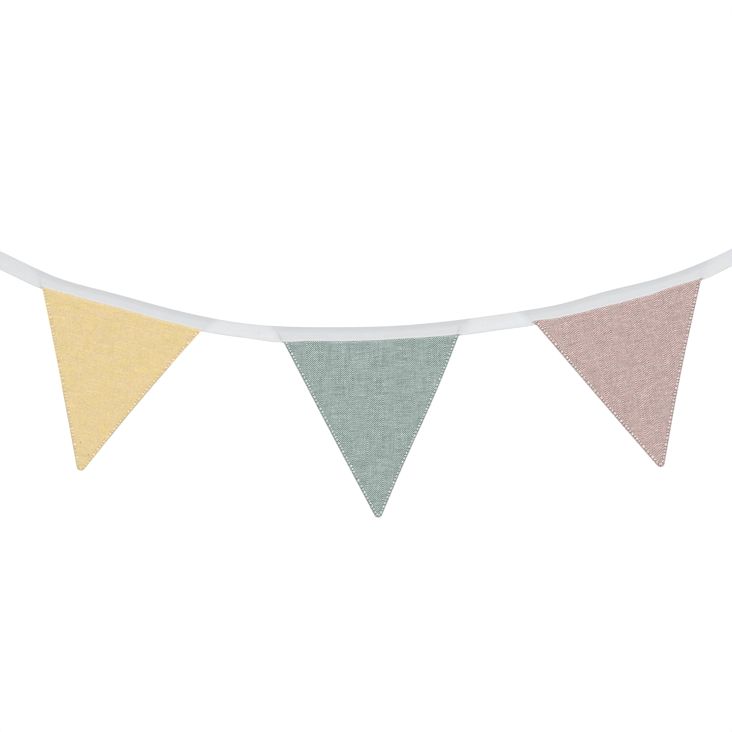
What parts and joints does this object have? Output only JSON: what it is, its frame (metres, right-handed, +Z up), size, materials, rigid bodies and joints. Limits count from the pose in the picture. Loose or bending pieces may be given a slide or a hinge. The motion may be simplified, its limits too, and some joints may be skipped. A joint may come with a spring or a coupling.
{
  "type": "fabric bunting",
  "caption": "Fabric bunting: triangular herringbone cotton pennants in yellow, grey-green and dusty pink, hung point down from a folded white binding tape.",
  "frame": {"origin": "where a pin or clip holds the left end of the tape, halfway down its width, in the middle of its thickness", "axes": "+X along the bunting from its left end to its right as seen from the front, +Z up, -Y its front"},
  "size_m": [0.6661, 0.0113, 0.2355],
  "materials": {
    "tape_cotton": "plain white cotton binding, matt",
    "yellow_herringbone": "soft yellow slubbed cotton herringbone, matt",
    "green_herringbone": "grey-green slubbed cotton herringbone, matt",
    "pink_herringbone": "dusty pink slubbed cotton herringbone, matt"
  },
  "bodies": {
    "root": {"binding_tape": "tape_cotton", "pennant_yellow": "yellow_herringbone", "pennant_green": "green_herringbone", "pennant_pink": "pink_herringbone"}
  },
  "joints": []
}
